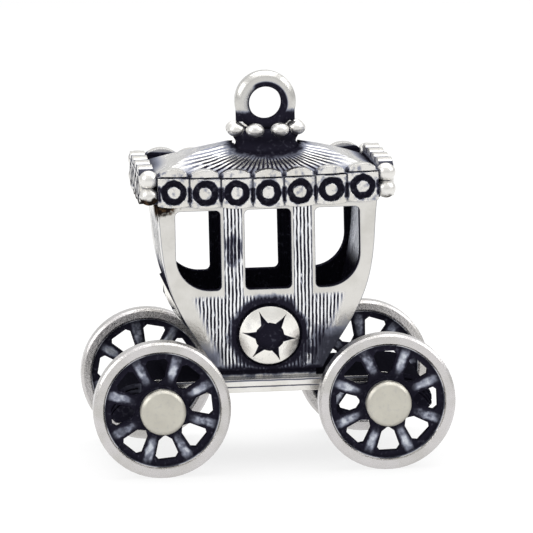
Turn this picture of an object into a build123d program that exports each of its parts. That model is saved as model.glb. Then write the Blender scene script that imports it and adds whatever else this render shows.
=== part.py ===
from build123d import *
from math import cos, pi, sin
import os

# A silver coach charm: a small hollow coach on four turning wheels, with a ring on
# its roof to hang it by. Millimetres, +X along the coach, +Z up, and the origin on
# the ground under the middle of the coach. The near side in the usual view is -Y.

# Running gear
WHEEL_R = 3.38
WHEEL_W = 1.0
WHEEL_BASE = 11.1
TRACK = 10.0
RIM_DEPTH = 0.58
RIM_BEVEL = 0.12
WEB_T = 0.45
WEB_SETBACK = 0.3
HUB_R = 1.2
SPOKES = 8
OPENING_R0 = 1.3
OPENING_R1 = 2.5
SPOKE_ROOT_W = 0.5
SPOKE_TIP_W = 0.68
OPENING_BEVEL = 0.22
SHAFT_R = 0.6
JOURNAL_R = 0.42
RIVET_R = 1.12
RIVET_T = 0.58
RIVET_BEVEL = 0.16
RUN_CLEAR = 0.06
SIDE_PLAY = 0.1
BORE_CLEAR = 0.02

# Chassis: a bar with two stepped bands, a boss round each axle, and ends that droop
# like a stack of spring leaves
CHASSIS_W = 6.2
BAND_OVERHANG = 0.2
BAND_H = 0.33
CHASSIS_H = 0.67
CHASSIS_RISE = 0.97
BOSS_R = 1.1
DROOP_START = 1.0
DROOP_REACH = 2.5
DROOP_FALL = 1.15
DROOP_TIP_H = 0.45
DROOP_TOE = 0.35
LEAVES = 4
LEAF_T = 0.24
LEAF_GAP = 0.07
LEAF_DEPTH = 0.15

# Cab: hollow, wider and longer at the top, open at three windows on each side
NECK_H = 0.4
NECK_INSET = 0.3
PLUG_H = 0.3
CAB_H = 8.55
CAB_FOOT_L = 5.3
CAB_FOOT_W = 5.7
CAB_TOP_L = 10.9
CAB_TOP_W = 7.1
SIDE_T = 0.6
END_T = 0.45
SEAM = 0.02
SILL_H = 4.13
WINDOW_H = 4.0
DOOR_WINDOW_W = 2.3
PILLAR_W = 1.18
POST_W = 0.62
WINDOW_ROUND = 0.25
QUARTER_ROUND = 1.7

# How far the walls have spread from foot to top, by share of the cab's height
SPREAD = [
    # height, spread
    (0.0, 0.0),
    (0.24, 0.43),
    (0.48, 0.78),
    (0.72, 0.925),
    (1.0, 1.0),
]

# Rosettes, one on each wall
ROSETTE_R = 1.5
ROSETTE_EDGE = 0.3
ROSETTE_DOME = 0.3
ROSETTE_SEAT = 0.2
ROSETTE_GAP = 0.14
SIDE_ROSETTE_H = 1.79
END_ROSETTE_H = 3.2
STAR_POINTS = 6
STAR_TURN = -8
STAR_TIP_R = 1.4
STAR_RAY_W = 0.47
STAR_CORE_R = 0.74
STAR_CORE_SIDES = 12
STAR_DEPTH = 0.34

# Roof and its parapet of ringed tiles
EAVE_H = 1.2
SIDE_OVERHANG = 0.05
END_OVERHANG = 0.12
CEILING_INSET = 0.95
CEILING_H = 0.85
PARAPET_T = 0.7
TILE_DROP = 0.76
TILE_RISE = 1.14
TILE_ARCH = 0.3
TILE_SWAG = 0.1
RING_H = 0.7
SIDE_TILES = 7
END_TILES = 4
CORNER_GAP = 0.15
EAVE_SAG = 0.2
RING_R = 0.62
RING_W = 0.28
RING_DEPTH = 0.2
RING_SIDES = 12
ROLL_LINE_H = 0.74
ROLL_LINE_W = 0.07
ROLL_LINE_DEPTH = 0.12
TILE_LINE_W = 0.1
BALL_W = 0.94
BALL_H = 0.9
BALL_REACH = 0.42
BALL_LOW = 0.45
BALL_STEP = 0.82

ROOF_RISE = 1.3
RIDGE_L = 3.04
RIDGE_W = 1.1

# Hip of the roof from the eaves to the ridge: shares of the rise and of the drawing in
HIP = [
    # rise, drawn in along X, drawn in along Y
    (0.0, 0.0, 0.0),
    (0.28, 0.2, 0.36),
    (0.65, 0.5, 0.82),
    (1.0, 1.0, 1.0),
]

# Crown: neck, ring of beads and the ring that the charm hangs by
CROWN_X = 0.32
NECK_R = 1.78
NECK_HALF_W = 1.21
NECK_SEAT = 0.25
NECK_LIP = 0.75
NECK_WAIST = 1.5
NECK_WAIST_H = 0.55
COLLAR_R = 1.62
COLLAR_T = 0.4
BEADS = 8
BEAD_W = 0.92
BEAD_H = 0.7
BAIL_R = 1.52
BAIL_BORE_R = 0.82
BAIL_T = 1.0
BAIL_STEM = 1.35
BAIL_BORE_DROP = 0.08
BAIL_BEVEL = 0.22
BORE_BEVEL = 0.18
SHOULDER_W = 2.9
SHOULDER_T = 0.6

# How far a cutting tool runs past the face it comes out of
OVER = 1.0
# Small balls are many, so each is cut with few faces: twelve sides round, and sections
# by share of the half width and of the half height
BALL_SIDES = 12
BALL_SECTIONS = [
    # half width, height
    (0.45, -1.0),
    (1.0, -0.4),
    (1.0, 0.4),
    (0.45, 1.0),
]

os.makedirs("parts", exist_ok=True)

AXLE_Z = WHEEL_R
AXLE_X = WHEEL_BASE / 2
WHEEL_Y = TRACK / 2
CHASSIS_Z1 = AXLE_Z + CHASSIS_RISE
CHASSIS_Z0 = CHASSIS_Z1 - CHASSIS_H
CAB_Z0 = CHASSIS_Z1 + NECK_H
CAB_Z1 = CAB_Z0 + CAB_H
SILL_Z = CAB_Z0 + SILL_H
EAVE_Z = CAB_Z1 + EAVE_H
RING_Z = CAB_Z1 + RING_H
PARAPET_X = CAB_TOP_L / 2 + END_OVERHANG
PARAPET_Y = CAB_TOP_W / 2 + SIDE_OVERHANG
CORNER_X = PARAPET_X - CORNER_GAP
CORNER_Y = PARAPET_Y - CORNER_GAP
NECK_Z0 = EAVE_Z + NECK_SEAT
COLLAR_Z0 = NECK_Z0 + NECK_LIP + NECK_WAIST_H
COLLAR_Z1 = COLLAR_Z0 + COLLAR_T
BAIL_Z = COLLAR_Z1 + BAIL_STEM
SHOULDER_Z = COLLAR_Z1 + BEAD_H / 2 + SEAM
OVAL = NECK_HALF_W / NECK_R


def save(piece, name):
    piece.part.label = name
    export_step(piece.part, f"parts/{name}.step")


def spread_at(share):
    """The walls' spread at a share of the cab's height, and its slope there."""
    for (h0, s0), (h1, s1) in zip(SPREAD, SPREAD[1:]):
        if share <= h1:
            break
    slope = (s1 - s0) / (h1 - h0)
    return s0 + slope * (share - h0), slope


def cab_half(spread):
    half_l = (CAB_FOOT_L + spread * (CAB_TOP_L - CAB_FOOT_L)) / 2
    half_w = (CAB_FOOT_W + spread * (CAB_TOP_W - CAB_FOOT_W)) / 2
    return half_l, half_w


def wall_plane(facing, height):
    """A plane on a wall's outer face, leaning as the wall does, facing outwards."""
    share = height / CAB_H
    spread, slope = spread_at(share)
    half_l, half_w = cab_half(spread)
    lean_l = slope * (CAB_TOP_L - CAB_FOOT_L) / 2 / CAB_H
    lean_w = slope * (CAB_TOP_W - CAB_FOOT_W) / 2 / CAB_H
    lean = lean_l if facing.X else lean_w
    half = half_l if facing.X else half_w
    across = Vector(0, 0, 1).cross(facing)
    origin = facing * half + Vector(0, 0, CAB_Z0 + height)
    return Plane(origin, x_dir=across, z_dir=facing - Vector(0, 0, lean))


def faceted_ball(width, height):
    """A small ball with few faces, centred on the origin."""
    with BuildPart() as ball:
        for share_r, share_h in BALL_SECTIONS:
            with BuildSketch(Plane.XY.offset(share_h * height / 2)):
                RegularPolygon(share_r * width / 2, BALL_SIDES)
        loft(ruled=True)
    return ball.part


LEVELS = [(CAB_Z0 + share * CAB_H, *cab_half(spread)) for share, spread in SPREAD]

# The four sides of the cab: which way each faces, and how its rosette is set
SIDES = [
    # name, facing, rosette height
    ("near", Vector(0, -1, 0), SIDE_ROSETTE_H),
    ("far", Vector(0, 1, 0), SIDE_ROSETTE_H),
    ("front", Vector(1, 0, 0), END_ROSETTE_H),
    ("rear", Vector(-1, 0, 0), END_ROSETTE_H),
]

# The chassis is drawn in side view and runs right across under the cab
start = AXLE_X + DROOP_START
tip = AXLE_X + DROOP_REACH
with BuildPart() as chassis:
    with BuildSketch(Plane.XZ) as bar:
        with Locations((0, (CHASSIS_Z0 + CHASSIS_Z1) / 2)):
            Rectangle(2 * AXLE_X, CHASSIS_H)
        for side in (-1, 1):
            low = CHASSIS_Z1 - DROOP_FALL - DROOP_TIP_H
            with BuildLine():
                top = Line((side * AXLE_X, CHASSIS_Z1), (side * start, CHASSIS_Z1))
                droop = TangentArc((side * start, CHASSIS_Z1), (side * tip, CHASSIS_Z1 - DROOP_FALL),
                                   tangent=(side, 0))
                end = Line(droop @ 1, (side * tip, low))
                toe = Line(end @ 1, (side * (tip - DROOP_TOE), low - DROOP_TOE))
                under = Line(toe @ 1, (side * AXLE_X, low - DROOP_TOE))
                Line(under @ 1, top @ 0)
            make_face()
        with Locations((-AXLE_X, AXLE_Z), (AXLE_X, AXLE_Z)):
            Circle(BOSS_R)
    extrude(amount=CHASSIS_W / 2, both=True)
    with BuildSketch(Plane.XZ) as band:
        with Locations((0, CHASSIS_Z1 - BAND_H / 2)):
            Rectangle(2 * AXLE_X, BAND_H)
    extrude(amount=CHASSIS_W / 2 + BAND_OVERHANG, both=True)
    with BuildSketch(Plane.XZ):
        with Locations((-AXLE_X, AXLE_Z), (AXLE_X, AXLE_Z)):
            Circle(SHAFT_R + BORE_CLEAR)
    extrude(amount=CHASSIS_W, both=True, mode=Mode.SUBTRACT)
    for side in (-1, 1):
        for flank in (-1, 1):
            with BuildSketch(Plane.XZ.offset(flank * CHASSIS_W / 2)):
                for leaf in range(1, LEAVES):
                    high = CHASSIS_Z1 - leaf * LEAF_T
                    low = high - LEAF_GAP
                    with BuildLine():
                        upper = TangentArc((side * start, high), (side * tip, high - DROOP_FALL),
                                           tangent=(side, 0))
                        lower = TangentArc((side * start, low), (side * tip, low - DROOP_FALL),
                                           tangent=(side, 0))
                        Line(upper @ 0, lower @ 0)
                        Line(upper @ 1, lower @ 1)
                    make_face()
            extrude(amount=-flank * LEAF_DEPTH, mode=Mode.SUBTRACT)
save(chassis, "chassis")

# Each axle is one riveted pin: a shoulder between the wheels, journals and heads
AXLES = [
    # name, x
    ("front_axle", AXLE_X),
    ("rear_axle", -AXLE_X),
]
SHOULDER_Y = WHEEL_Y - WHEEL_W / 2 - SIDE_PLAY
HEAD_Y = WHEEL_Y + WHEEL_W / 2 + SIDE_PLAY
for name, x in AXLES:
    with BuildPart() as axle:
        with BuildSketch(Plane((x, 0, AXLE_Z), x_dir=(1, 0, 0), z_dir=(0, 0, 1))) as pin:
            with Locations((SHAFT_R / 2, 0)):
                Rectangle(SHAFT_R, 2 * SHOULDER_Y)
            with Locations((JOURNAL_R / 2, 0)):
                Rectangle(JOURNAL_R, 2 * HEAD_Y)
            for side in (-1, 1):
                with Locations((RIVET_R / 2, side * (HEAD_Y + RIVET_T / 2))):
                    Rectangle(RIVET_R, RIVET_T)
            ends = pin.vertices().group_by(Axis.Y)
            chamfer(ends[0].sort_by(Axis.X)[-1], RIVET_BEVEL)
            chamfer(ends[-1].sort_by(Axis.X)[-1], RIVET_BEVEL)
        revolve(axis=Axis((x, 0, AXLE_Z), (0, 1, 0)))
    save(axle, name)

# Wheels: a flat polished rim, a web set back inside it and eight spokes
WHEELS = [
    # name, x, side, turn of the spokes in degrees
    ("wheel_rear_near", -AXLE_X, -1, 4.9),
    ("wheel_front_near", AXLE_X, -1, 1.2),
    ("wheel_rear_far", -AXLE_X, 1, 11.0),
    ("wheel_front_far", AXLE_X, 1, 18.0),
]
RIM_R = WHEEL_R - RIM_DEPTH
FACE = WHEEL_W / 2
WEB_FACE = FACE - WEB_SETBACK
for name, x, side, turn in WHEELS:
    centre = (x, side * WHEEL_Y, AXLE_Z)
    section = Plane(centre, x_dir=(1, 0, 0), z_dir=(0, 0, side))
    disc = Plane(centre, x_dir=(1, 0, 0), z_dir=(0, side, 0))
    bore = JOURNAL_R + RUN_CLEAR
    with BuildPart() as wheel:
        with BuildSketch(section) as profile:
            with Locations(((RIM_R + WHEEL_R) / 2, 0)):
                Rectangle(RIM_DEPTH, WHEEL_W)
            chamfer(profile.vertices(), RIM_BEVEL)
            with Locations(((bore + RIM_R + RIM_BEVEL) / 2, WEB_FACE - WEB_T / 2)):
                Rectangle(RIM_R + RIM_BEVEL - bore, WEB_T)
            with Locations(((bore + HUB_R) / 2, 0)):
                Rectangle(HUB_R - bore, WHEEL_W)
        revolve(axis=Axis(centre, (0, side, 0)))
        with BuildSketch(disc) as openings:
            inner = 2 * pi * OPENING_R0 / SPOKES - SPOKE_ROOT_W
            outer = 2 * pi * OPENING_R1 / SPOKES - SPOKE_TIP_W
            with PolarLocations(0, SPOKES, start_angle=turn):
                Polygon((OPENING_R0, -inner / 2), (OPENING_R1, -outer / 2),
                        (OPENING_R1, outer / 2), (OPENING_R0, inner / 2), align=None)
            chamfer(openings.vertices(), OPENING_BEVEL)
        extrude(amount=WHEEL_W, both=True, mode=Mode.SUBTRACT)
    save(wheel, name)

# The floor closes the foot of the cab and sets it up off the chassis
with BuildPart() as floor:
    with BuildSketch(Plane.XY.offset(CHASSIS_Z1)):
        Rectangle(CAB_FOOT_L - 2 * NECK_INSET, CAB_FOOT_W - 2 * NECK_INSET)
    extrude(amount=NECK_H)
    with BuildSketch(Plane.XY.offset(CAB_Z0)):
        Rectangle(CAB_FOOT_L - 2 * (END_T + SEAM), CAB_FOOT_W - 2 * (SIDE_T + SEAM))
    extrude(amount=PLUG_H)
save(floor, "cab_floor")

# Windows of one side: a door window between two quarter windows, which reach out to
# a post at the end of the wall and are swept up to follow its lean
DOOR_X = DOOR_WINDOW_W / 2
QUARTER_X = DOOR_X + PILLAR_W
POST_X = cab_half(spread_at((SILL_H + QUARTER_ROUND) / CAB_H)[0])[0] - POST_W
SWEEP = min(QUARTER_ROUND, POST_X - QUARTER_X - 2 * WINDOW_ROUND)
WINDOWS = [
    # from, to, round of the lower left corner, round of the lower right corner
    (-POST_X, -QUARTER_X, SWEEP, WINDOW_ROUND),
    (-DOOR_X, DOOR_X, WINDOW_ROUND, WINDOW_ROUND),
    (QUARTER_X, POST_X, WINDOW_ROUND, SWEEP),
]
for name, facing, rosette_h in SIDES:
    seat = wall_plane(facing, rosette_h).offset(-ROSETTE_SEAT)
    with BuildPart() as wall:
        if facing.Y:
            for z, half_l, half_w in LEVELS:
                with BuildSketch(Plane.XY.offset(z)):
                    Rectangle(2 * half_l, 2 * half_w)
            loft()
            for z, half_l, half_w in LEVELS:
                with BuildSketch(Plane.XY.offset(z)):
                    with Locations((0, -facing.Y * (OVER + SIDE_T) / 2)):
                        Rectangle(2 * (half_l + OVER), 2 * half_w + OVER - SIDE_T)
            loft(mode=Mode.SUBTRACT)
            for x0, x1, left_round, right_round in WINDOWS:
                with BuildSketch(Plane.XZ) as window:
                    with Locations(((x0 + x1) / 2, SILL_Z + WINDOW_H / 2)):
                        Rectangle(x1 - x0, WINDOW_H)
                    fillet(window.vertices().group_by(Axis.Y)[-1], WINDOW_ROUND)
                    fillet(window.vertices().group_by(Axis.Y)[0].sort_by(Axis.X)[0], left_round)
                    fillet(window.vertices().group_by(Axis.Y)[0].sort_by(Axis.X)[-1], right_round)
                extrude(amount=-facing.Y * CAB_TOP_W, mode=Mode.SUBTRACT)
        else:
            for z, half_l, half_w in LEVELS:
                with BuildSketch(Plane.XY.offset(z)):
                    Rectangle(2 * half_l, 2 * (half_w - SIDE_T - SEAM))
            loft()
            for z, half_l, half_w in LEVELS:
                with BuildSketch(Plane.XY.offset(z)):
                    with Locations((-facing.X * (OVER + END_T) / 2, 0)):
                        Rectangle(2 * half_l + OVER - END_T, 2 * (half_w + OVER))
            loft(mode=Mode.SUBTRACT)
        with BuildSketch(seat):
            Circle(ROSETTE_R + ROSETTE_GAP)
        extrude(amount=ROSETTE_SEAT + OVER, mode=Mode.SUBTRACT)
    save(wall, f"wall_{name}")

    # A domed rosette sits in a shallow round seat, with a star sunk in its face
    lengthwise = Plane(seat.origin, x_dir=seat.x_dir, z_dir=-seat.y_dir)
    with BuildPart() as rosette:
        with BuildSketch(lengthwise):
            with BuildLine():
                base = Line((0, 0), (ROSETTE_R, 0))
                edge = Line(base @ 1, (ROSETTE_R, ROSETTE_EDGE))
                crown = TangentArc((0, ROSETTE_EDGE + ROSETTE_DOME), edge @ 1, tangent=(1, 0))
                Line(crown @ 0, base @ 0)
            make_face()
        revolve(axis=Axis(seat.origin, seat.z_dir))
        with BuildSketch(seat.offset(ROSETTE_EDGE + ROSETTE_DOME - STAR_DEPTH)):
            RegularPolygon(STAR_CORE_R, STAR_CORE_SIDES)
            with PolarLocations(0, STAR_POINTS, start_angle=STAR_TURN):
                Polygon((0, -STAR_RAY_W / 2), (STAR_TIP_R, 0), (0, STAR_RAY_W / 2), align=None)
        extrude(amount=OVER, mode=Mode.SUBTRACT)
    save(rosette, f"rosette_{name}")

# The roof is a slab inside the parapet with a low hip drawn in to the neck
with BuildPart() as roof:
    with BuildSketch(Plane.XY.offset(CAB_Z1)):
        Rectangle(2 * PARAPET_X, 2 * PARAPET_Y)
    extrude(amount=EAVE_H)
    for rise, in_x, in_y in HIP:
        with BuildSketch(Plane.XY.offset(EAVE_Z + rise * ROOF_RISE)):
            Rectangle(2 * PARAPET_X + in_x * (RIDGE_L - 2 * PARAPET_X),
                      2 * PARAPET_Y + in_y * (RIDGE_W - 2 * PARAPET_Y))
    loft()
    with BuildSketch(Plane.XY.offset(CAB_Z1)):
        Rectangle(CAB_TOP_L - 2 * CEILING_INSET, CAB_TOP_W - 2 * CEILING_INSET)
    extrude(amount=CEILING_H, mode=Mode.SUBTRACT)
    with BuildSketch(Plane.XY.offset(NECK_Z0)):
        with Locations((CROWN_X, 0)):
            Ellipse(NECK_R + BORE_CLEAR, NECK_HALF_W + BORE_CLEAR)
    extrude(amount=ROOF_RISE + OVER, mode=Mode.SUBTRACT)
save(roof, "roof")

# Parapet: a strip of tiles on each side of the roof, each tile arched on top, with
# a sunk ring, a fine line under its top roll and one beside it; the strips sag
STRIPS = [
    # name, facing, distance out, half length, tiles, sag
    ("near", Vector(0, -1, 0), PARAPET_Y, CORNER_X, SIDE_TILES, EAVE_SAG),
    ("far", Vector(0, 1, 0), PARAPET_Y, CORNER_X, SIDE_TILES, EAVE_SAG),
    ("front", Vector(1, 0, 0), PARAPET_X, CORNER_Y, END_TILES, 0.0),
    ("rear", Vector(-1, 0, 0), PARAPET_X, CORNER_Y, END_TILES, 0.0),
]
for name, facing, out, half, tiles, sag in STRIPS:
    across = Vector(0, 0, 1).cross(facing)
    back = Plane(facing * out, x_dir=across, z_dir=facing)
    pitch = 2 * half / tiles
    places = []
    for k in range(tiles):
        u = (k + 0.5) * pitch - half
        places.append((u, RING_Z - sag * (1 - (u / half) ** 2)))
    with BuildPart() as strip:
        with BuildSketch(back):
            for u, v in places:
                foot = v - TILE_DROP
                top = v + TILE_RISE
                with BuildLine():
                    swag = ThreePointArc((u - pitch / 2, foot + TILE_SWAG), (u, foot),
                                         (u + pitch / 2, foot + TILE_SWAG))
                    right = Line(swag @ 1, (u + pitch / 2, top - TILE_ARCH))
                    arch = ThreePointArc(right @ 1, (u, top), (u - pitch / 2, top - TILE_ARCH))
                    Line(arch @ 1, swag @ 0)
                make_face()
        extrude(amount=PARAPET_T)
        with BuildSketch(back.offset(PARAPET_T)):
            with Locations(*places):
                RegularPolygon(RING_R, RING_SIDES)
                RegularPolygon(RING_R - RING_W, RING_SIDES, mode=Mode.SUBTRACT)
        extrude(amount=-RING_DEPTH, mode=Mode.SUBTRACT)
        with BuildSketch(back.offset(PARAPET_T)):
            with Locations(*[(u, v + ROLL_LINE_H) for u, v in places]):
                Rectangle(pitch, ROLL_LINE_W)
            with Locations(*[(u + pitch / 2, v) for u, v in places[:-1]]):
                Rectangle(TILE_LINE_W, 2 * ROLL_LINE_H)
        extrude(amount=-ROLL_LINE_DEPTH, mode=Mode.SUBTRACT)
    save(strip, f"parapet_{name}")

# Two balls, one on the other, finish each corner of the parapet
for name, sx, sy in [("near_front", 1, -1), ("near_rear", -1, -1),
                     ("far_front", 1, 1), ("far_rear", -1, 1)]:
    corner_x = sx * (CORNER_X + BALL_REACH)
    corner_y = sy * (CORNER_Y + BALL_REACH)
    with BuildPart() as corner:
        for z in (CAB_Z1 + BALL_LOW, CAB_Z1 + BALL_LOW + BALL_STEP):
            with Locations((corner_x, corner_y, z)):
                add(faceted_ball(BALL_W, BALL_H))
        split(bisect_by=Plane((sx * CORNER_X, 0, 0), z_dir=(sx, 0, 0)))
        split(bisect_by=Plane((0, sy * CORNER_Y, 0), z_dir=(0, sy, 0)))
        with BuildSketch(Plane.XY.offset(CAB_Z1)):
            Rectangle(2 * PARAPET_X, 2 * PARAPET_Y)
        extrude(amount=EAVE_H + OVER, mode=Mode.SUBTRACT)
    save(corner, f"corner_{name}")

# The crown's neck is oval, stands in a socket in the roof and carries a ring of beads
COLLAR_SECTIONS = [
    # half length, height
    (NECK_R, NECK_Z0),
    (NECK_R, NECK_Z0 + NECK_LIP),
    (NECK_WAIST, NECK_Z0 + NECK_LIP + NECK_WAIST_H / 2),
    (COLLAR_R, COLLAR_Z0),
    (COLLAR_R, COLLAR_Z1),
]
with BuildPart() as collar:
    for half_l, z in COLLAR_SECTIONS:
        with BuildSketch(Plane.XY.offset(z)):
            with Locations((CROWN_X, 0)):
                Ellipse(half_l, OVAL * half_l)
    loft(ruled=True)
    for k in range(BEADS):
        turn = 2 * pi * (k + 0.5) / BEADS
        with Locations((CROWN_X + COLLAR_R * cos(turn), OVAL * COLLAR_R * sin(turn), COLLAR_Z1)):
            add(faceted_ball(BEAD_W, BEAD_H))
save(collar, "bead_collar")

# The ring that the charm hangs by: a round eye with a flat foot on the collar and
# square shoulders that come down just clear of the beads
with BuildPart() as bail:
    with BuildSketch(Plane.XZ):
        with Locations((CROWN_X, BAIL_Z)):
            Circle(BAIL_R)
    extrude(amount=BAIL_T / 2, both=True)
    chamfer(bail.edges().filter_by(GeomType.CIRCLE), BAIL_BEVEL)
    split(bisect_by=Plane.XY.offset(COLLAR_Z1))
    with BuildSketch(Plane.XZ):
        with Locations((CROWN_X, (BAIL_Z + SHOULDER_Z) / 2)):
            Rectangle(SHOULDER_W, BAIL_Z - SHOULDER_Z)
    extrude(amount=SHOULDER_T / 2, both=True)
    with BuildSketch(Plane.XZ):
        with Locations((CROWN_X, BAIL_Z - BAIL_BORE_DROP)):
            Circle(BAIL_BORE_R)
    extrude(amount=BAIL_T, both=True, mode=Mode.SUBTRACT)
    rims = bail.edges().filter_by(GeomType.CIRCLE)
    chamfer([e for e in rims if abs(e.radius - BAIL_BORE_R) < 1e-6], BORE_BEVEL)
save(bail, "bail")
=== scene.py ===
from math import cos, pi, radians, sin

import bmesh
import bpy
from mathutils import Matrix, Vector


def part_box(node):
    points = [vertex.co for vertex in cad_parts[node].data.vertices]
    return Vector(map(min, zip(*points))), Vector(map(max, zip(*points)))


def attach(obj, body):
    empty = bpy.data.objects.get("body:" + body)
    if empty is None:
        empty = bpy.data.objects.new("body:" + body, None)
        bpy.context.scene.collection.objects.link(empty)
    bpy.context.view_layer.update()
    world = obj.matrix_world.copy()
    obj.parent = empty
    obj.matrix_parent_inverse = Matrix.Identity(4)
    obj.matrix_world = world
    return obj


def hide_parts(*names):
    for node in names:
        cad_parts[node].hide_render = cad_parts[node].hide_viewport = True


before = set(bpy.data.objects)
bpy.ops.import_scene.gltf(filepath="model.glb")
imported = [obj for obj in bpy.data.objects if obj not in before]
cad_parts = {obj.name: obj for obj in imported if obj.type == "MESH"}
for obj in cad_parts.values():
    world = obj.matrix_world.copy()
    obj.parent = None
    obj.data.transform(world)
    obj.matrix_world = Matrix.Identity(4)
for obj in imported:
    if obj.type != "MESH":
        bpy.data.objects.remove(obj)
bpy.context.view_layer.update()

# Dresses the coach charm as oxidised silver: polished high spots, blackened recesses.
# The frame is in metres; sizes below are in millimetres and MM turns them into metres.
MM = 0.001

# Sizes of the object, as they come out in the part's source
WHEEL_RIM_R = 2.8
SPOKES = 8
SPOKE_TURNS = {
    # wheel, turn of its spokes in degrees
    "wheel_rear_near": 4.9,
    "wheel_front_near": 1.2,
    "wheel_rear_far": 11.0,
    "wheel_front_far": 18.0,
}
RIVET_SEAT_Y = 5.6
BAND_H = 0.33
CAB_FOOT_Z = 4.75
SILL_Z = 8.88
DOOR_HALF = 1.15
PILLAR_OUT = 2.33
STAR_FLOOR = 0.26
STAR_POINTS = 6
STAR_TURN = -8
STAR_CORE_R = 0.74
STAR_TIP_R = 1.4
SIDE_LEAN = 0.147
END_LEAN = 0.478
SIDE_STRIP_HALF = 5.42
END_STRIP_HALF = 3.45
SIDE_TILES = 7
END_TILES = 4
EAVE_SAG = 0.2
RING_Z = 14.0
RING_R = 0.62
RING_W = 0.28
ROLL_LINE_H = 0.74
NECK_R = 1.78
NECK_LIP = 0.75
NECK_WAIST = 1.5
NECK_WAIST_H = 0.55
OVAL = 0.68
COLLAR_R = 1.62
BEADS = 8
BEAD_W = 0.92
BEAD_H = 0.7
BALL_W = 0.94
BALL_H = 0.9
EYE_R = 0.82
EYE_BEVEL = 0.18
EYE_DROP = 1.6

# Fine lines and painted shapes. The comb has its pitch at COMB_R from the neck's middle; the
# reeded panel's half width grows by PANEL_SPREAD per millimetre above the cab's foot.
REED_PITCH = 0.18
COMB_PITCH = 0.25
COMB_R = 2.9
PANEL_FOOT_HALF = 2.5
PANEL_SPREAD = 0.38
STAR_RAY_HALF = 0.2

# Places of wear and dirt, after the photograph. A pair says where a mark begins and where
# it is full.
SMUDGE_X, SMUDGE_Z = -1.74, 10.9
SOIL_X, SOIL_Z = (0.3, 1.8), (8.0, 5.8)
# Where the long walls get darker towards their lower right and lower left
LOW_RIGHT_DARK_X, LOW_RIGHT_DARK_Z = (1.7, 2.6), (7.3, 6.3)
LOW_LEFT_DARK_X, LOW_LEFT_DARK_Z = (-1.9, -2.8), (6.7, 5.3)
HALO_R = (2.22, 1.75)
FOOT_Z = (5.2, 4.8)
SIDE_SOLDER_X, SIDE_SOLDER_Z = -5.35, 13.1
END_PANEL_Y, END_PANEL_Z = (2.6, 2.1), (12.9, 11.5)
END_BLACK_Z = (10.4, 9.2)
END_BRUSHED_Z = (9.2, 10.6)
END_SOLDER_X, END_SOLDER_Y, END_SOLDER_Z = (-4.3, -4.6), (0.8, -0.4), (12.35, 12.6)
COMB_X, COMB_Y = (4.9, 2.6), (0.8, 2.0)
# Painted shadow: the roof darkens along its long edges, behind the parapets
TROUGH_SHADOW_Y = (2.1, 3.1)
ROOF_END_X, ROOF_END_Y = (4.3, 5.4), (-2.8, 1.0)
NECK_BLACK_R = (2.6, 1.7)
# The end strips' notches are widened into painted shadow behind each roll
NOTCH_SIDE, NOTCH_SHADOW_END = (0.2, 0.05), (0.36, 0.22)
# How high up the parapets' inner faces, painted in shade, stay pale
INNER_LIT_SIDE, INNER_LIT_END = (0.9, 1.0), (0.5, 0.95)
EAVE_SOLDER_Z = (13.75, 13.6)
STRIP_SOLDER_Y = (1.2, 0.2)
BALL_SOLDER_Y = (0.0, -1.0)
LEAF_X = (6.0, 6.6)
LEDGE_X, LEDGE_Y = (3.1, 2.7), (2.4, 2.55)
FLOOR_WORN_Z = (4.55, 4.4)
# Where the spokes' middles are lighter: worn patina and a painted highlight
SPOKE_WEAR_SHEEN_R0, SPOKE_WEAR_SHEEN_R1 = 1.6, 2.62

# Colours, linear
POLISHED = (0.78, 0.765, 0.735)
POLISHED_WARM = (0.70, 0.68, 0.635)
STEEL = (0.235, 0.25, 0.315)
PATINA = (0.014, 0.013, 0.022)
PATINA_WORN = (0.065, 0.065, 0.088)
MARGIN = (0.68, 0.665, 0.635)
MARGIN_WARM = (0.60, 0.585, 0.55)
# Painted highlight: the reeded zones are the same silver as the margins, made brighter as the
# glint of their ridges
REED_GLINT = (0.93, 0.94, 0.96)
REED_GLINT_WARM = (0.85, 0.86, 0.875)
ROOF_SILVER = (0.72, 0.71, 0.69)
ROOF_WARM = (0.64, 0.63, 0.61)
RIM = (0.62, 0.60, 0.60)
RIM_WARM = (0.54, 0.525, 0.505)
# The spokes' lighter middles: rubbed patina, with a painted highlight
WEB_WEAR_SHEEN = (0.58, 0.61, 0.67)
BRUSHED = (0.62, 0.65, 0.74)
PETAL = (0.96, 0.945, 0.90)
PETAL_WARM = (0.86, 0.84, 0.79)
RING_SILVER = (0.60, 0.59, 0.565)
RIVET = (0.54, 0.52, 0.46)
RIVET_WARM = (0.60, 0.58, 0.51)
SOLDER = (0.010, 0.007, 0.006)
SOLDER_PALE = (0.075, 0.046, 0.026)
# A black deeper than the patina, laid on the chassis's upward faces
DEEP_BLACK = (0.004, 0.004, 0.006)

# Fineness of the scene's own meshes
BALL_ROUND = 40
BALL_RISE = 20
OVAL_ROUND = 64


def middle(node):
    """The middle of a node's box, in millimetres."""
    low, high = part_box(node)
    return (low + high) / 2 / MM


def reach_along(node, direction):
    """The least and most that a node reaches along a direction, in millimetres."""
    reach = [v.co.dot(direction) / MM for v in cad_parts[node].data.vertices]
    return min(reach), max(reach)


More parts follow.
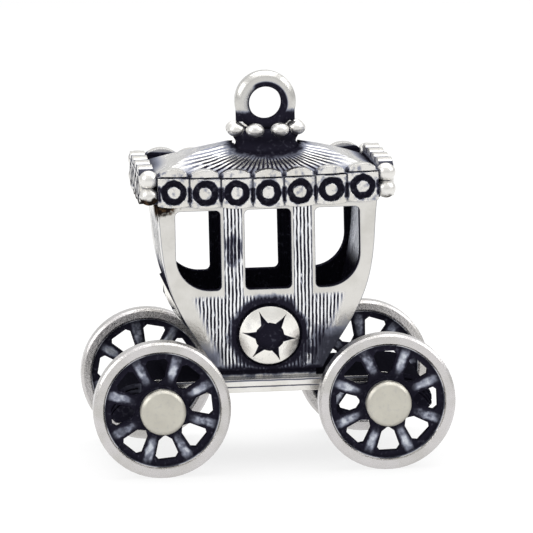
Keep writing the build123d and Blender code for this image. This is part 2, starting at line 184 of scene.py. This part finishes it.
class Nodes:
    """A material's node tree, with places in millimetres and short names for its nodes."""

    def __init__(self, name):
        self.material = bpy.data.materials.new(name)
        self.material.use_nodes = True
        self.tree = self.material.node_tree
        self.shader = self.tree.nodes["Principled BSDF"]
        coords = self.add("ShaderNodeTexCoord")
        scaled = self.add("ShaderNodeVectorMath", operation="SCALE")
        self.link(coords.outputs["Object"], scaled.inputs[0])
        scaled.inputs["Scale"].default_value = 1 / MM
        self.place = scaled.outputs[0]
        split = self.add("ShaderNodeSeparateXYZ")
        self.link(self.place, split.inputs[0])
        self.x, self.y, self.z = split.outputs
        facing = self.add("ShaderNodeSeparateXYZ")
        self.link(coords.outputs["Normal"], facing.inputs[0])
        self.nx, self.ny, self.nz = facing.outputs

    def add(self, kind, **settings):
        node = self.tree.nodes.new(kind)
        for key, value in settings.items():
            setattr(node, key, value)
        return node

    def link(self, source, socket):
        self.tree.links.new(source, socket)

    def put(self, value, socket):
        """Links a socket's value, or sets a plain one."""
        if isinstance(value, bpy.types.NodeSocket):
            self.link(value, socket)
        else:
            socket.default_value = value

    def math(self, operation, a, b=0.0):
        node = self.add("ShaderNodeMath", operation=operation)
        self.put(a, node.inputs[0])
        self.put(b, node.inputs[1])
        return node.outputs[0]

    def chain(self, operation, first, others):
        """The same operation on one value after another."""
        for other in others:
            first = self.math(operation, first, other)
        return first

    def plus(self, first, *others):
        return self.chain("ADD", first, others)

    def times(self, first, *others):
        return self.chain("MULTIPLY", first, others)

    def most(self, first, *others):
        return self.chain("MAXIMUM", first, others)

    def minus(self, a, b):
        return self.math("SUBTRACT", a, b)

    def inverse(self, a):
        return self.minus(1.0, a)

    def size(self, a):
        return self.math("ABSOLUTE", a)

    def dot(self, a, b):
        node = self.add("ShaderNodeVectorMath", operation="DOT_PRODUCT")
        self.put(a, node.inputs[0])
        self.put(b, node.inputs[1])
        return node.outputs["Value"]

    def along(self, direction):
        """How far a place lies along a direction."""
        return self.dot(self.place, direction)

    def distance(self, a, b):
        """Length of two legs at a right angle."""
        return self.math("SQRT", self.plus(self.times(a, a), self.times(b, b)))

    def step(self, value, low, high):
        """0 below low, 1 above high and smooth between; falls where low is above high."""
        node = self.add("ShaderNodeMapRange", interpolation_type="SMOOTHSTEP")
        self.put(value, node.inputs["Value"])
        rising = low <= high
        node.inputs["From Min"].default_value = low if rising else high
        node.inputs["From Max"].default_value = high if rising else low
        node.inputs["To Min"].default_value = 0.0 if rising else 1.0
        node.inputs["To Max"].default_value = 1.0 if rising else 0.0
        return node.outputs["Result"]

    def band(self, value, low, high, soft):
        """1 between low and high, 0 beyond them, with soft ends."""
        rise = self.step(value, low - soft, low + soft)
        fall = self.step(value, high + soft, high - soft)
        return self.times(rise, fall)

    def noise(self, scale, detail=3.0, stretch=(1, 1, 1)):
        node = self.add("ShaderNodeTexNoise")
        node.inputs["Scale"].default_value = scale
        node.inputs["Detail"].default_value = detail
        source = self.place
        if stretch != (1, 1, 1):
            pull = self.add("ShaderNodeVectorMath", operation="MULTIPLY")
            self.link(self.place, pull.inputs[0])
            pull.inputs[1].default_value = stretch
            source = pull.outputs[0]
        self.link(source, node.inputs["Vector"])
        return node.outputs["Fac"]

    def wander(self, amount, scale, detail=3.0, stretch=(1, 1, 1)):
        """Noise on both sides of zero, which makes an edge ragged."""
        return self.times(self.minus(self.noise(scale, detail, stretch), 0.5), amount)

    def lines(self, across, pitch, wobble):
        """Grooves at a pitch along one coordinate, uneven as if cut by hand: 1 in a groove."""
        bent = self.plus(across, self.wander(wobble, 1.3, 2.0))
        wave = self.math("COSINE", self.times(bent, 2 * pi / pitch))
        return self.plus(self.times(wave, 0.5), 0.5)

    def recess(self, reach, open_at, closed_at):
        """How far a spot lies in a recess: 0 in the open, 1 deep down."""
        node = self.add("ShaderNodeAmbientOcclusion", samples=12)
        node.inputs["Distance"].default_value = reach * MM
        return self.step(node.outputs["AO"], open_at, closed_at)

    def rounded(self, radius, samples):
        """The normal as if edges were rounded to a radius."""
        node = self.add("ShaderNodeBevel", samples=samples)
        node.inputs["Radius"].default_value = radius * MM
        return node.outputs["Normal"]

    def edges(self, reach):
        """1 on a sharp edge, 0 where the surface is flat for a reach all round."""
        flat = self.add("ShaderNodeNewGeometry").outputs["True Normal"]
        return self.step(self.dot(self.rounded(reach, 8), flat), 0.97, 0.85)

    def mix(self, share, a, b):
        node = self.add("ShaderNodeMix", data_type="RGBA")
        self.put(share, node.inputs[0])
        for value, socket in ((a, node.inputs[6]), (b, node.inputs[7])):
            self.put(value if isinstance(value, bpy.types.NodeSocket) else (*value, 1.0), socket)
        return node.outputs[2]

    def silver(self, dark, relief=None, polished=POLISHED, tint=POLISHED_WARM, rough=0.2,
               edge=0.07, relief_depth=0.05, stain=None, stain_colour=None):
        """Finishes the material: dark is 0 on polished metal and 1 on patina."""
        wear = self.noise(5.0, 4.0)
        dark = self.math("MINIMUM", dark, 1.0)
        dull = dark if stain is None else self.most(dark, stain)
        bright = self.mix(self.step(self.noise(0.8), 0.35, 0.7), polished, tint)
        black = self.mix(self.step(wear, 0.54, 0.8), PATINA, PATINA_WORN)
        greyed = self.mix(self.step(dark, 0.0, 0.6), bright, STEEL)
        colour = self.mix(self.step(dark, 0.4, 1.0), greyed, black)
        if stain is not None:
            if stain_colour is None:
                burnt = self.step(self.noise(3.6), 0.5, 0.68)
                stain_colour = self.mix(burnt, SOLDER, SOLDER_PALE)
            colour = self.mix(stain, colour, stain_colour)
        grain = self.times(self.noise(14.0, 5.0), 0.14)
        roughness = self.plus(self.times(dull, 0.3), rough - 0.05, grain)
        fine = self.times(self.noise(9.0, 4.0), 0.12)
        bump = self.add("ShaderNodeBump")
        bump.inputs["Distance"].default_value = relief_depth * MM
        bump.inputs["Strength"].default_value = 0.8
        self.link(fine if relief is None else self.plus(fine, relief), bump.inputs["Height"])
        self.link(self.rounded(edge, 6), bump.inputs["Normal"])
        self.link(colour, self.shader.inputs["Base Color"])
        self.link(self.inverse(dull), self.shader.inputs["Metallic"])
        self.link(roughness, self.shader.inputs["Roughness"])
        self.link(bump.outputs["Normal"], self.shader.inputs["Normal"])
        self.shader.inputs["Specular IOR Level"].default_value = 0.0
        return self.material


def side_wall(name, side):
    """A long wall: reeded pillars and lower panel with painted glints, polished margins, black
    inside, darker low down at the corners.
    """
    g = Nodes(name)
    out = g.times(g.ny, float(side))
    reach = g.size(g.x)
    outward = g.times(g.nx, g.math("SIGN", g.x))
    rim = g.times(g.step(outward, 0.3, 0.6), g.step(reach, PILLAR_OUT + 0.12, PILLAR_OUT + 0.2))
    inside = g.times(g.step(out, 0.45, 0.1), g.inverse(rim))
    upper = g.step(g.z, SILL_Z - 1.2, SILL_Z - 0.4)
    pillar = g.times(g.band(reach, DOOR_HALF + 0.12, PILLAR_OUT - 0.16, 0.05), upper)
    margin = g.plus(PANEL_FOOT_HALF, g.times(g.minus(g.z, CAB_FOOT_Z), PANEL_SPREAD))
    lower = g.step(g.z, SILL_Z - 0.2, SILL_Z - 0.5)
    panel = g.times(g.step(g.minus(margin, reach), 0.0, 0.5), lower)
    carved = g.most(pillar, panel)
    uneven = g.wander(0.95, 2.4, 4.0, (1.6, 1.6, 0.4))
    reeding = g.plus(g.lines(g.x, REED_PITCH, 0.1), uneven)
    grooves = g.step(reeding, 0.36, 0.56)
    broken = g.step(g.noise(3.0, 4.0, (1.8, 1.8, 0.6)), 0.28, 0.46)
    reeds = g.times(carved, grooves, broken)

    ragged = g.wander(0.7, 2.0)
    height = g.plus(g.z, ragged)
    spot = g.distance(g.times(g.minus(g.x, SMUDGE_X), 1.5),
                      g.times(g.minus(g.z, SMUDGE_Z), 0.8))
    spot = g.step(g.plus(spot, ragged), 0.85, 0.4)
    smudge = g.times(pillar, spot, g.step(reeding, -0.2, 0.25))
    mottled = g.step(g.noise(2.8, 4.0, (1, 1, 0.6)), 0.38, 0.56)
    soiled = g.times(mottled, g.step(height, *SOIL_Z), g.step(g.x, *SOIL_X))
    # soiled is mottled dirt; the wall also gets darker towards its lower right and lower left,
    # and dirt takes all three
    darker_low_right = g.times(g.step(height, *LOW_RIGHT_DARK_Z), g.step(g.x, *LOW_RIGHT_DARK_X))
    darker_low_left = g.times(g.step(height, *LOW_LEFT_DARK_Z), g.step(g.x, *LOW_LEFT_DARK_X), 0.8)
    dirt = g.times(g.most(soiled, darker_low_right, darker_low_left), 0.85)
    centre = middle("rosette_near" if side < 0 else "rosette_far")
    radius = g.distance(g.x, g.minus(g.z, centre.z))
    halo = g.step(g.plus(radius, ragged), *HALO_R)
    foot = g.step(g.plus(g.z, g.times(ragged, 0.6)), *FOOT_Z)
    hidden = g.recess(0.45, 0.75, 0.45)
    outline = g.times(g.edges(0.09), g.step(out, 0.45, 0.8), 0.7)
    shade = g.most(reeds, smudge, halo, foot, inside, dirt, hidden, outline)

    blob = g.distance(g.times(g.minus(g.x, SIDE_SOLDER_X), 0.65),
                      g.times(g.minus(g.z, SIDE_SOLDER_Z), 1.2))
    solder = g.step(g.plus(blob, g.wander(0.7, 3.4, 4.0)), 0.62, 0.4)
    # the reeded zones get the brighter silver: a painted highlight on their ridges
    metal = g.mix(carved, MARGIN, REED_GLINT)
    warm = g.mix(carved, MARGIN_WARM, REED_GLINT_WARM)
    relief = g.minus(g.times(solder, 0.6), reeds)
    return g.silver(shade, relief, metal, warm, relief_depth=0.09, stain=solder)


def end_wall(name, facing):
    """An end wall: pale and finely lined above, black below round its rosette and inside."""
    g = Nodes(name)
    inside = g.step(g.times(g.nx, float(facing)), 0.45, 0.1)
    outside = g.inverse(inside)
    grooves = g.step(g.lines(g.y, REED_PITCH, 0.1), 0.42, 0.72)
    broken = g.step(g.noise(2.2, 3.0, (1.6, 1.6, 0.5)), 0.3, 0.5)
    panel = g.times(g.step(g.size(g.y), *END_PANEL_Y), g.step(g.z, *END_PANEL_Z))
    reeds = g.times(panel, grooves, broken)
    black = g.step(g.plus(g.z, g.wander(2.0, 1.2)), *END_BLACK_Z)
    scuffed = g.step(g.noise(3.0, 4.0, (1, 3.0, 0.35)), 0.35, 0.65)
    brushed = g.times(g.step(g.z, *END_BRUSHED_Z), g.plus(0.6, g.times(scuffed, 0.4)))
    hidden = g.recess(0.6, 0.8, 0.45)
    shade = g.most(g.times(g.most(reeds, black, hidden), outside),
                   g.times(inside, g.inverse(brushed)))
    corner = g.times(g.step(g.x, *END_SOLDER_X), g.step(g.plus(g.y, scuffed), *END_SOLDER_Y))
    solder = g.times(g.step(g.plus(g.z, g.times(scuffed, 0.4)), *END_SOLDER_Z), corner)
    metal = g.mix(inside, POLISHED, BRUSHED)
    return g.silver(shade, g.times(reeds, -1.0), metal, metal, relief_depth=0.09, stain=solder)


def combed_roof(name):
    """The roof: strokes combed outwards from the neck, black round its foot, painted shade at its
    edges and underneath.
    """
    g = Nodes(name)
    dx = g.minus(g.x, middle("bead_collar").x)
    radius = g.distance(dx, g.times(g.y, 1.2))
    angle = g.math("ARCTAN2", g.y, dx)
    grooves = g.step(g.lines(g.times(angle, COMB_R), COMB_PITCH, 0.14), 0.34, 0.62)
    broken = g.step(g.noise(1.6), 0.26, 0.44)
    deeper = g.plus(0.55, g.times(g.step(g.size(g.y), *COMB_Y), 0.45))
    comb = g.times(grooves, g.step(g.size(g.x), *COMB_X), broken, deeper)
    # painted shadow of the parapets, along the roof's long edges
    trough_shadow = g.times(g.step(g.size(g.y), *TROUGH_SHADOW_Y), 0.6)
    shaded = g.times(g.step(g.size(g.x), *ROOF_END_X), g.step(g.y, *ROOF_END_Y), 0.8)
    neck = g.step(g.plus(radius, g.wander(1.3, 2.0)), *NECK_BLACK_R)
    # painted shade: faces turned downwards, under the eaves, go black
    under = g.step(g.nz, 0.1, -0.1)
    hidden = g.times(g.recess(0.7, 0.75, 0.4), 0.95)
    shade = g.most(comb, trough_shadow, shaded, neck, under, hidden)
    return g.silver(shade, g.times(grooves, -1.0), ROOF_SILVER, ROOF_WARM, relief_depth=0.1)


def tiles(node, facing, half, count, sag):
    """A parapet strip: pale tiles, ragged black rings, lines and notches, painted shadow between
    the end strips' rolls, an inner face in painted shade with a paler top.
    """
    g = Nodes("silver_" + node)
    if facing.y:
        along, normal, sign = g.x, g.ny, facing.y
        valley, pale = NOTCH_SIDE, INNER_LIT_SIDE
    else:
        along, normal, sign = g.y, g.nx, facing.x
        valley, pale = NOTCH_SHADOW_END, INNER_LIT_END
    pitch = 2 * half / count
    share = g.math("FRACT", g.times(g.plus(along, half), 1 / pitch))
    off = g.times(g.minus(share, 0.5), pitch)
    edge = g.minus(pitch / 2, g.size(off))
    drop = g.times(g.inverse(g.times(along, along, 1 / half ** 2)), sag)
    rise = g.minus(g.plus(g.z, drop), RING_Z)
    face = g.step(g.times(normal, sign), 0.3, 0.6)
    ragged = g.wander(0.3, 2.4)
    ring = g.plus(g.distance(off, rise), ragged)
    ring = g.band(ring, RING_R - RING_W - 0.04, RING_R + 0.02, 0.04)
    line = g.plus(rise, g.times(ragged, 0.3))
    line = g.band(line, ROLL_LINE_H - 0.06, ROLL_LINE_H + 0.02, 0.02)
    line = g.times(line, g.plus(0.3, g.times(g.step(g.noise(1.8), 0.35, 0.6), 0.7)))
    stroke = g.times(g.step(g.plus(edge, ragged), 0.16, 0.07), g.band(rise, -0.5, 0.3, 0.1))
    # notches between the rolls; on the end strips they are widened into painted shadow
    notch = g.times(g.step(edge, *valley), g.step(rise, ROLL_LINE_H, ROLL_LINE_H + 0.05))
    marks = g.most(ring, line, stroke, notch)
    # painted shade on the inner face, left paler towards its top
    inner = g.step(g.times(normal, -sign), 0.4, 0.7)
    inner = g.times(inner, g.inverse(g.times(g.step(rise, *pale), 0.8)))
    dirt = g.times(g.step(g.noise(3.2, 5.0), 0.46, 0.7), 0.5)
    hidden = g.times(g.recess(0.28, 0.7, 0.4), 0.7)
    shade = g.most(g.times(face, g.most(marks, dirt)), inner, ring, g.times(notch, 0.85), hidden)
    solder = None
    if facing.x < 0:
        height = g.plus(g.z, g.times(g.noise(2.4), 0.5))
        solder = g.times(g.step(height, *EAVE_SOLDER_Z), g.step(g.y, *STRIP_SOLDER_Y))
    return g.silver(shade, g.times(marks, -1.0), relief_depth=0.06, edge=0.09, stain=solder)


def chassis_bar(name):
    """The chassis: bright bands, a black top with a pale ledge by the cab, dark leaf ends,
    painted shade underneath.
    """
    g = Nodes(name)
    worn = g.step(g.noise(1.5, 4.0, (0.5, 1, 1)), 0.5, 0.72)
    leaves = g.times(g.step(g.size(g.x), *LEAF_X), g.inverse(g.times(worn, 0.15)))
    ledge = g.times(g.step(g.size(g.y), *LEDGE_Y), g.step(g.size(g.x), *LEDGE_X))
    plain = g.inverse(g.times(ledge, 0.8))
    top = g.times(g.step(g.nz, 0.4, 0.7), plain)
    # painted shade: faces turned downwards go dark
    under = g.step(g.nz, -0.3, -0.6)
    hidden = g.times(g.recess(0.45, 0.78, 0.4), plain)
    flank = g.step(g.size(g.ny), 0.5, 0.8)
    streak = g.times(flank, g.step(g.lines(g.z, BAND_H, 0.06), 0.8, 0.95), 0.7)
    shade = g.most(leaves, top, under, hidden, streak)
    # the upward faces get a black deeper than the patina
    return g.silver(shade, stain=g.times(top, 0.9), stain_colour=DEEP_BLACK)


def cab_foot(name):
    """The cab's floor: a black groove under the walls, its lower edge worn pale."""
    g = Nodes(name)
    low = g.step(g.plus(g.z, g.wander(0.15, 2.0)), *FLOOR_WORN_Z)
    mottled = g.plus(0.35, g.times(g.step(g.noise(2.6, 4.0), 0.35, 0.6), 0.55))
    return g.silver(g.inverse(g.times(low, mottled)))


def wheel(name):
    """A wheel: a polished rim, and a black web with rounded spokes, lighter along their middles
    from worn patina and a painted highlight.
    """
    g = Nodes("silver_" + name)
    centre = middle(name)
    dx = g.minus(g.x, centre.x)
    dz = g.minus(g.z, centre.z)
    radius = g.distance(dx, dz)
    turn = radians(SPOKE_TURNS[name])
    if name.endswith("far"):
        turn = -turn
    angle = g.minus(g.math("ARCTAN2", dz, dx), turn)
    spoke = g.times(g.math("COSINE", g.times(angle, float(SPOKES))), -1.0)
    turns = g.math("FRACT", g.times(angle, SPOKES / (2 * pi)))
    sideways = g.times(radius, g.size(g.minus(turns, 0.5)), 2 * pi / SPOKES)
    # the spokes' middles are lighter: patina worn off the high spots, and a painted highlight
    ridge = g.minus(g.plus(0.08, g.times(radius, 0.055)), sideways)
    ridge = g.step(g.plus(ridge, g.wander(0.2, 2.6, 4.0)), -0.08, 0.1)
    broad = g.times(g.step(g.noise(1.1, 2.0), 0.35, 0.65), 0.4)
    fine = g.times(g.step(g.noise(4.0, 5.0), 0.36, 0.72), 0.5)
    worn = g.times(ridge, g.plus(broad, fine, 0.2),
                   g.band(radius, SPOKE_WEAR_SHEEN_R0, SPOKE_WEAR_SHEEN_R1, 0.35))
    web = g.step(radius, WHEEL_RIM_R + 0.06, WHEEL_RIM_R - 0.02)
    shade = g.times(web, g.inverse(worn))
    metal = g.mix(web, RIM, WEB_WEAR_SHEEN)
    warm = g.mix(web, RIM_WARM, WEB_WEAR_SHEEN)
    relief = g.times(web, spoke, 1.2)
    return g.silver(shade, relief, metal, warm, relief_depth=0.12, edge=0.05, rough=0.26)


def axle(name):
    """A riveted pin: warm satin heads, a dark shaft."""
    g = Nodes("silver_" + name)
    shaft = g.step(g.size(g.y), RIVET_SEAT_Y + 0.06, RIVET_SEAT_Y - 0.02)
    shade = g.most(shaft, g.times(g.recess(0.3, 0.6, 0.3), 0.6))
    specks = g.times(g.step(g.noise(5.0, 5.0), 0.45, 0.7), 0.14)
    return g.silver(g.plus(shade, specks), polished=RIVET, tint=RIVET_WARM, rough=0.38, edge=0.16)


def rosette(node, facing, lean):
    """A rosette: bright petals round a black star, and a black rim in its seat."""
    g = Nodes("silver_" + node)
    axis = (facing - Vector((0, 0, lean))).normalized()
    across = Vector((0, 0, 1)).cross(facing)
    upward = axis.cross(across)
    height = g.minus(g.along(axis), reach_along(node, axis)[0])
    u = g.minus(g.along(across), sum(reach_along(node, across)) / 2)
    v = g.minus(g.along(upward), sum(reach_along(node, upward)) / 2)
    tilt = g.plus(g.times(g.nx, axis.x), g.times(g.ny, axis.y), g.times(g.nz, axis.z))
    sunk = g.most(g.step(height, STAR_FLOOR + 0.03, STAR_FLOOR + 0.01), g.step(tilt, 0.85, 0.7))
    radius = g.distance(u, v)
    angle = g.minus(g.math("ARCTAN2", v, u), radians(STAR_TURN))
    turns = g.times(angle, STAR_POINTS / (2 * pi))
    off = g.size(g.minus(g.math("FRACT", g.plus(turns, 0.5)), 0.5))
    sideways = g.times(radius, off, 2 * pi / STAR_POINTS)
    taper = g.times(g.minus(STAR_TIP_R, radius), 1 / (STAR_TIP_R - STAR_CORE_R))
    taper = g.math("POWER", g.most(taper, 0.0), 1.25)
    ray = g.minus(g.times(taper, STAR_RAY_HALF), sideways)
    star = g.most(sunk, g.step(ray, 0.0, 0.04))
    tarnish = g.times(g.step(g.noise(1.2), 0.55, 0.75), 0.25)
    return g.silver(g.most(star, tarnish), polished=PETAL, tint=PETAL_WARM, edge=0.05)


def hanging_ring(name):
    """The ring: polished outside, dark in its eye and at its shoulders, with a painted highlight
    on one side of the eye.
    """
    g = Nodes(name)
    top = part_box("bail")[1].z / MM
    eye_z = top - EYE_DROP
    dx = g.minus(g.x, middle("bail").x)
    radius = g.distance(dx, g.minus(g.z, eye_z))
    bore = g.step(radius, EYE_R + EYE_BEVEL + 0.16, EYE_R + EYE_BEVEL + 0.04)
    # painted highlight: the bore's side towards -x is kept lighter
    shine = g.times(g.step(dx, -0.45, -0.7), g.step(radius, EYE_R + 0.05, EYE_R + 0.1))
    bore = g.times(bore, g.inverse(g.times(shine, 0.8)))
    shoulder = g.step(g.plus(g.z, g.times(g.noise(2.5), 0.3)), eye_z - 0.05, eye_z - 0.4)
    shade = g.most(bore, shoulder, g.recess(0.5, 0.6, 0.3))
    return g.silver(shade, polished=RING_SILVER, tint=RING_SILVER, edge=0.2)


def plain_dark(name):
    """The neck: black all over, with faint wear."""
    g = Nodes(name)
    worn = g.step(g.noise(2.0, 4.0), 0.55, 0.75)
    return g.silver(g.inverse(g.times(worn, 0.05)))


def bright(name):
    """Beads and balls: polished, black where they meet others, solder under the corners."""
    g = Nodes(name)
    lower = g.times(g.step(g.x, 1.0, -1.0), 0.25)
    height = g.minus(g.plus(g.z, g.times(g.noise(2.4), 0.5)), lower)
    solder = g.times(g.step(height, *EAVE_SOLDER_Z), g.step(g.y, *BALL_SOLDER_Y))
    tarnish = g.times(g.step(g.noise(2.2, 4.0), 0.5, 0.75), 0.3)
    shade = g.most(g.recess(0.2, 0.5, 0.2), tarnish)
    return g.silver(shade, tint=POLISHED, rough=0.3, edge=0.05, stain=solder)


def dress(node, material):
    """Gives a CAD node its one material."""
    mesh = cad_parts[node].data
    mesh.materials.clear()
    mesh.materials.append(material)


def piece(name, shape, materials, *nodes):
    """A smooth mesh of the scene's own that stands for CAD nodes of the coach."""
    mesh = bpy.data.meshes.new(name)
    shape.to_mesh(mesh)
    shape.free()
    for material in materials:
        mesh.materials.append(material)
    mesh.polygons.foreach_set("use_smooth", [True] * len(mesh.polygons))
    obj = bpy.data.objects.new(name, mesh)
    bpy.context.scene.collection.objects.link(obj)
    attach(obj, "coach")
    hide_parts(*nodes)


def ball(shape, centre, width, height, material=0):
    """Adds a ball that is round from above and has its own height."""
    scale = Matrix.Diagonal((width / 2 * MM, width / 2 * MM, height / 2 * MM, 1))
    made = bmesh.ops.create_uvsphere(shape, u_segments=BALL_ROUND, v_segments=BALL_RISE, radius=1,
                                     matrix=Matrix.Translation(Vector(centre) * MM) @ scale)
    for vertex in made["verts"]:
        for face in vertex.link_faces:
            face.material_index = material


def oval_body(shape, centre, profile):
    """Adds an upright body of oval sections, from rows of half length and height."""
    rings = []
    for half_l, z in profile:
        ring = []
        for k in range(OVAL_ROUND):
            a = 2 * pi * k / OVAL_ROUND
            place = Vector((centre.x + half_l * cos(a), centre.y + OVAL * half_l * sin(a), z))
            ring.append(shape.verts.new(place * MM))
        rings.append(ring)
    for below, above in zip(rings, rings[1:]):
        for k in range(OVAL_ROUND):
            j = (k + 1) % OVAL_ROUND
            shape.faces.new((below[k], below[j], above[j], above[k]))
    shape.faces.new(list(reversed(rings[0])))
    shape.faces.new(rings[-1])


# Materials of the CAD nodes
dress("wall_near", side_wall("silver_wall_near", -1))
dress("wall_far", side_wall("silver_wall_far", 1))
dress("wall_front", end_wall("silver_wall_front", 1))
dress("wall_rear", end_wall("silver_wall_rear", -1))
dress("roof", combed_roof("silver_roof"))
dress("chassis", chassis_bar("silver_chassis"))
dress("cab_floor", cab_foot("silver_floor"))
dress("bail", hanging_ring("silver_bail"))
SIDES = [
    # name, facing, wall's lean at the rosette, parapet's half length, tiles, sag
    ("near", Vector((0, -1, 0)), SIDE_LEAN, SIDE_STRIP_HALF, SIDE_TILES, EAVE_SAG),
    ("far", Vector((0, 1, 0)), SIDE_LEAN, SIDE_STRIP_HALF, SIDE_TILES, EAVE_SAG),
    ("front", Vector((1, 0, 0)), END_LEAN, END_STRIP_HALF, END_TILES, 0.0),
    ("rear", Vector((-1, 0, 0)), END_LEAN, END_STRIP_HALF, END_TILES, 0.0),
]
for name, facing, lean, half, count, sag in SIDES:
    dress("parapet_" + name, tiles("parapet_" + name, facing, half, count, sag))
    dress("rosette_" + name, rosette("rosette_" + name, facing, lean))
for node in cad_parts:
    if node.startswith("wheel_"):
        dress(node, wheel(node))
    if node.endswith("_axle"):
        dress(node, axle(node))

# The crown's neck and beads and the corner balls are smooth here; the solids have few faces
bright_silver = bright("silver_balls")
low, high = (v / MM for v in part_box("bead_collar"))
centre = middle("bead_collar")
bead_z = high.z - BEAD_H / 2
lip_z = low.z + NECK_LIP
waist_z = lip_z + NECK_WAIST_H / 2
collar_z = lip_z + NECK_WAIST_H
NECK_PROFILE = [
    # half length, height
    (NECK_R, low.z),
    (NECK_R, lip_z - 0.06),
    (NECK_R - 0.02, lip_z),
    (NECK_R - 0.1, lip_z + 0.08),
    (NECK_WAIST + 0.03, waist_z - 0.08),
    (NECK_WAIST, waist_z),
    (NECK_WAIST + 0.02, waist_z + 0.1),
    (COLLAR_R - 0.03, collar_z - 0.06),
    (COLLAR_R, collar_z),
    (COLLAR_R, bead_z),
]
shape = bmesh.new()
oval_body(shape, centre, NECK_PROFILE)
for k in range(BEADS):
    a = 2 * pi * (k + 0.5) / BEADS
    place = (centre.x + COLLAR_R * cos(a), centre.y + OVAL * COLLAR_R * sin(a), bead_z)
    ball(shape, place, BEAD_W, BEAD_H, 1)
piece("beads", shape, (plain_dark("silver_neck"), bright_silver), "bead_collar")

for end in ("front", "rear"):
    for side in ("near", "far"):
        node = f"corner_{side}_{end}"
        low, high = (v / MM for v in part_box(node))
        x = high.x - BALL_W / 2 if end == "front" else low.x + BALL_W / 2
        y = low.y + BALL_W / 2 if side == "near" else high.y - BALL_W / 2
        shape = bmesh.new()
        ball(shape, (x, y, low.z + BALL_H / 2), BALL_W, BALL_H)
        ball(shape, (x, y, high.z - BALL_H / 2), BALL_W, BALL_H)
        piece(f"balls_{side}_{end}", shape, (bright_silver,), node)

# Camera at the photograph's angle: it looks at a point of the object that lies at a known
# pixel of the 533 x 533 frame, 20 pixels to the millimetre
FRAME_PX = 533
PX_PER_MM = 20
AIM = Vector((-0.2, 0.0, 9.0))
AIM_PX = Vector((258.06, 275.71))
YAW, ELEVATION, ROLL = radians(-5.403), radians(9.279), radians(-1.194)
REACH = 228.2
SENSOR = 36
back = Vector((sin(YAW) * cos(ELEVATION), -cos(YAW) * cos(ELEVATION), sin(ELEVATION)))
right = Vector((cos(YAW), sin(YAW), 0))
up = back.cross(right)
across = right * cos(ROLL) + up * sin(ROLL)
upright = up * cos(ROLL) - right * sin(ROLL)
turned = Matrix((across, upright, back)).transposed().to_4x4()
camera_data = bpy.data.cameras.new("camera")
camera = bpy.data.objects.new("camera", camera_data)
bpy.context.scene.collection.objects.link(camera)
camera.matrix_world = Matrix.Translation((AIM + back * REACH) * MM) @ turned
camera_data.sensor_width = SENSOR
camera_data.lens = SENSOR * REACH * PX_PER_MM / FRAME_PX
camera_data.shift_x = (FRAME_PX / 2 - AIM_PX.x) / FRAME_PX
camera_data.shift_y = (AIM_PX.y - FRAME_PX / 2) / FRAME_PX
camera_data.clip_start = 0.01
bpy.context.scene.camera = camera

# White floor and world, soft lamps above and at both sides
FLOOR_HALF = 2000
PAPER = (0.95, 0.95, 0.95, 1)
PAPER_ROUGH = 0.9
PAPER_GLOW = 0.8
floor_mesh = bpy.data.meshes.new("floor")
floor_shape = bmesh.new()
bmesh.ops.create_grid(floor_shape, x_segments=1, y_segments=1, size=FLOOR_HALF * MM)
floor_shape.to_mesh(floor_mesh)
floor_shape.free()
floor = bpy.data.objects.new("floor", floor_mesh)
bpy.context.scene.collection.objects.link(floor)
paper = bpy.data.materials.new("paper")
paper.use_nodes = True
tree = paper.node_tree
paper_shader = tree.nodes["Principled BSDF"]
paper_shader.inputs["Base Color"].default_value = PAPER
paper_shader.inputs["Roughness"].default_value = PAPER_ROUGH
path = tree.nodes.new("ShaderNodeLightPath")
seen = path.outputs["Is Camera Ray"]
for ray in ("Is Glossy Ray", "Is Transmission Ray"):
    either = tree.nodes.new("ShaderNodeMath")
    either.operation = "MAXIMUM"
    tree.links.new(seen, either.inputs[0])
    tree.links.new(path.outputs[ray], either.inputs[1])
    seen = either.outputs[0]
share = tree.nodes.new("ShaderNodeMath")
share.operation = "MULTIPLY"
share.inputs[1].default_value = PAPER_GLOW
tree.links.new(seen, share.inputs[0])
glow = tree.nodes.new("ShaderNodeEmission")
blend = tree.nodes.new("ShaderNodeMixShader")
tree.links.new(share.outputs[0], blend.inputs["Fac"])
tree.links.new(paper_shader.outputs[0], blend.inputs[1])
tree.links.new(glow.outputs[0], blend.inputs[2])
tree.links.new(blend.outputs[0], tree.nodes["Material Output"].inputs["Surface"])
floor_mesh.materials.append(paper)

# The world brightens from the horizon up to a height on the unit sphere
HORIZON_LIGHT = 0.7
ZENITH_LIGHT = 1.0
FULL_LIGHT_Z = 0.7
world = bpy.data.worlds.new("studio")
world.use_nodes = True
bpy.context.scene.world = world
tree = world.node_tree
background = tree.nodes["Background"]
background.inputs["Color"].default_value = (1, 1, 1, 1)
coords = tree.nodes.new("ShaderNodeTexCoord")
split = tree.nodes.new("ShaderNodeSeparateXYZ")
tree.links.new(coords.outputs["Generated"], split.inputs[0])
sky = tree.nodes.new("ShaderNodeMapRange")
sky.inputs["From Min"].default_value = 0.0
sky.inputs["From Max"].default_value = FULL_LIGHT_Z
sky.inputs["To Min"].default_value = HORIZON_LIGHT
sky.inputs["To Max"].default_value = ZENITH_LIGHT
tree.links.new(split.outputs["Z"], sky.inputs["Value"])
tree.links.new(sky.outputs["Result"], background.inputs["Strength"])

LAMPS = [
    # name, place in mm, size in mm, power in W
    ("top", (10, 40, 160), 160, 0.17),
    ("left", (-140, -60, 90), 90, 0.06),
    ("right", (140, -40, 110), 90, 0.06),
]
for name, place, size, power in LAMPS:
    lamp_data = bpy.data.lights.new(name, "AREA")
    lamp_data.energy = power
    lamp_data.size = size * MM
    lamp = bpy.data.objects.new(name, lamp_data)
    bpy.context.scene.collection.objects.link(lamp)
    lamp.location = Vector(place) * MM
    lamp.rotation_euler = (Vector(place) - AIM).to_track_quat("Z", "Y").to_euler()

bpy.context.scene.view_settings.view_transform = "Standard"
